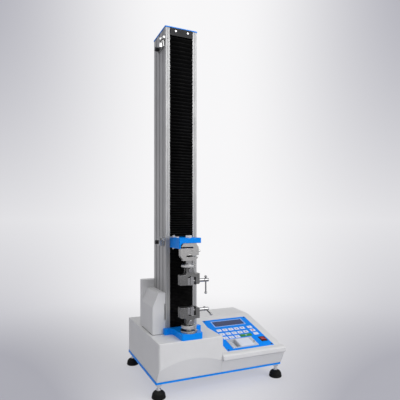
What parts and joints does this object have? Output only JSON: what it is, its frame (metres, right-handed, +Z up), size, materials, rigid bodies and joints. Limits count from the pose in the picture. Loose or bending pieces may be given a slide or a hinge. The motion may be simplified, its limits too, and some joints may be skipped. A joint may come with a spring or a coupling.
{
  "type": "universal testing machine",
  "caption": "Single-column bench tensile tester: ball-screw crosshead, S-shaped load cell, screw-clamp grips and a sloped console with keypad, display and panel printer.",
  "frame": {"origin": "on the bench top, under the middle of the machine's footprint", "axes": "+Z up along the column, -Y towards the operator, +X towards the console's side"},
  "size_m": [0.4876, 0.4065, 1.2255],
  "materials": {
    "azure_paint": "satin",
    "cover_paint": "fine texture",
    "housing_paint": "fine texture",
    "profile": "anodised",
    "bracket_paint": "satin",
    "bellows": "matt",
    "steel": "ground",
    "polished": "polished",
    "plated": "plated",
    "cell": "plated",
    "screw_heads": "polished",
    "dark_screws": "black oxide",
    "rubber": "matt",
    "film": "satin film with printed keys",
    "lcd": "gloss",
    "printer_case": "fine texture",
    "printer_door": "fine texture",
    "button": "gloss",
    "paper": "matt paper",
    "rocker_black": "fine texture",
    "rocker_red": "gloss",
    "knob": "fine texture",
    "bearing": "ground",
    "alloy": "milled",
    "motor": "satin",
    "belt": "matt",
    "circuit": "satin",
    "sheet": "zinc plated",
    "inlet": "fine texture"
  },
  "bodies": {
    "frame_body": {"base_plate": "azure_paint", "base_cover": "cover_paint", "pedestal": "sheet", "mounting_plate": "azure_paint", "column": "profile", "column_cap": "azure_paint", "column_screws": "screw_heads", "bellows_top_bracket": "bracket_paint", "bellows_upper": "bellows", "bellows_lower": "bellows", "rear_housing": "housing_paint", "guide_rods": "polished", "bearing_blocks": "alloy", "screw_bearings": "bearing", "timing_belt": "belt", "drive_motor": "motor", "lower_adapter": "steel", "lower_pin": "polished", "foot_pads": "rubber", "foot_studs": "screw_heads", "panel_overlay": "film", "panel_screws": "dark_screws", "display": "lcd", "printer_housing": "printer_case", "rocker_frame": "rocker_black", "control_board": "circuit", "power_supply": "sheet", "power_inlet": "inlet"},
    "crosshead_body": {"carriage": "alloy", "linear_bushings": "bearing", "ball_nut": "bearing", "crosshead_arm": "azure_paint", "arm_bolts": "screw_heads", "trip_strip": "steel", "load_cell": "cell", "upper_adapter": "steel", "upper_pin": "polished"},
    "screw_body": {"ball_screw": "polished", "screw_pulley": "alloy"},
    "rotor_body": {"motor_pulley": "alloy"},
    "upper_ring_body": {"upper_lock_ring": "plated"},
    "lower_ring_body": {"lower_lock_ring": "plated"},
    "door_body": {"printer_door": "printer_door"},
    "roll_body": {"paper_roll": "paper"},
    "button_body": {"printer_button": "button"},
    "rocker_body": {"rocker": "rocker_red"},
    "upper_grip_body": {"upper_grip_frame": "plated", "upper_fixed_jaw": "steel"},
    "upper_jaw_body": {"upper_moving_jaw": "steel"},
    "upper_clamp_body": {"upper_grip_screw": "polished"},
    "upper_tbar_body": {"upper_tbar": "polished"},
    "upper_stop_body": {"upper_limit_stop": "steel"},
    "upper_knob_body": {"upper_stop_knob": "knob"},
    "lower_grip_body": {"lower_grip_frame": "plated", "lower_fixed_jaw": "steel"},
    "lower_jaw_body": {"lower_moving_jaw": "steel"},
    "lower_clamp_body": {"lower_grip_screw": "polished"},
    "lower_tbar_body": {"lower_tbar": "polished"},
    "lower_stop_body": {"lower_limit_stop": "steel"},
    "lower_knob_body": {"lower_stop_knob": "knob"}
  },
  "joints": [
    {"name": "crosshead_slide", "type": "slide", "parent": "frame_body", "child": "crosshead_body", "axis": [0, 0, 1], "range_m": [-0.04, 0.56], "deforming": ["bellows_upper", "bellows_lower"]},
    {"name": "screw_spin", "type": "hinge", "parent": "frame_body", "child": "screw_body", "pos_m": [-0.119, -0.02, 0.7], "axis": [0, 0, -1], "range_deg": [-1441, 20162]},
    {"name": "motor_spin", "type": "hinge", "parent": "frame_body", "child": "rotor_body", "pos_m": [-0.119, 0.117, 0.15], "axis": [0, 0, -1], "range_deg": [-2882, 40324]},
    {"name": "upper_ring_turn", "type": "hinge", "parent": "crosshead_body", "child": "upper_ring_body", "pos_m": [-0.1216, -0.156, 0.4175], "axis": [0, 0, 1], "range_deg": [-180, 180]},
    {"name": "lower_ring_turn", "type": "hinge", "parent": "frame_body", "child": "lower_ring_body", "pos_m": [-0.1216, -0.156, 0.222], "axis": [0, 0, 1], "range_deg": [-180, 180]},
    {"name": "door_hinge", "type": "hinge", "parent": "frame_body", "child": "door_body", "pos_m": [0.1325, -0.12511, 0.13274], "axis": [0, 0.969, 0.247], "range_deg": [0, 85]},
    {"name": "roll_spin", "type": "hinge", "parent": "frame_body", "child": "roll_body", "pos_m": [0.1075, -0.12064, 0.1152], "axis": [0, 0.969, 0.247], "continuous": true},
    {"name": "button_press", "type": "slide", "parent": "frame_body", "child": "button_body", "axis": [0, 0.247, -0.969], "range_m": [0, 0.0008], "stiffness_N_per_m": 600},
    {"name": "rocker_tilt", "type": "hinge", "parent": "frame_body", "child": "rocker_body", "pos_m": [0.185, -0.1187, 0.12983], "axis": [1, 0, 0], "range_deg": [0, 20]},
    {"name": "upper_grip_swing", "type": "hinge", "parent": "crosshead_body", "child": "upper_grip_body", "pos_m": [-0.1216, -0.156, 0.404], "axis": [0, 1, 0], "range_deg": [-5, 5]},
    {"name": "upper_jaw_slide", "type": "slide", "parent": "upper_grip_body", "child": "upper_jaw_body", "axis": [1, 0, 0], "range_m": [-0.0009, 0.0066]},
    {"name": "upper_screw_turn", "type": "hinge", "parent": "upper_jaw_body", "child": "upper_clamp_body", "pos_m": [-0.0716, -0.156, 0.368], "axis": [1, 0, 0], "range_deg": [-217, 1585]},
    {"name": "upper_tbar_slide", "type": "slide", "parent": "upper_clamp_body", "child": "upper_tbar_body", "axis": [0, 0, 1], "range_m": [0, 0.0314]},
    {"name": "upper_stop_slide", "type": "slide", "parent": "frame_body", "child": "upper_stop_body", "axis": [0, 0, 1], "range_m": [-0.3, 0.03]},
    {"name": "upper_knob_turn", "type": "hinge", "parent": "upper_stop_body", "child": "upper_knob_body", "pos_m": [-0.19, -0.019, 1.164], "axis": [-1, 0, 0], "range_deg": [0, 360]},
    {"name": "lower_grip_swing", "type": "hinge", "parent": "frame_body", "child": "lower_grip_body", "pos_m": [-0.1216, -0.156, 0.236], "axis": [0, 1, 0], "range_deg": [-5, 5]},
    {"name": "lower_jaw_slide", "type": "slide", "parent": "lower_grip_body", "child": "lower_jaw_body", "axis": [1, 0, 0], "range_m": [-0.0009, 0.0066]},
    {"name": "lower_screw_turn", "type": "hinge", "parent": "lower_jaw_body", "child": "lower_clamp_body", "pos_m": [-0.0716, -0.156, 0.272], "axis": [1, 0, 0], "range_deg": [-217, 1585]},
    {"name": "lower_tbar_slide", "type": "slide", "parent": "lower_clamp_body", "child": "lower_tbar_body", "axis": [0, 0.9781, 0.2079], "range_m": [0, 0.0314]},
    {"name": "lower_stop_slide", "type": "slide", "parent": "frame_body", "child": "lower_stop_body", "axis": [0, 0, 1], "range_m": [-0.14, 0.3]},
    {"name": "lower_knob_turn", "type": "hinge", "parent": "lower_stop_body", "child": "lower_knob_body", "pos_m": [-0.19, -0.019, 0.489], "axis": [-1, 0, 0], "range_deg": [0, 360]}
  ],
  "couplings": [
    {"joint": "screw_spin", "follows": "crosshead_slide", "rad_per_m": 628.32},
    {"joint": "motor_spin", "follows": "crosshead_slide", "rad_per_m": 1256.6},
    {"joint": "upper_screw_turn", "follows": "upper_jaw_slide", "rad_per_m": 4188.8},
    {"joint": "lower_screw_turn", "follows": "lower_jaw_slide", "rad_per_m": 4188.8}
  ]
}
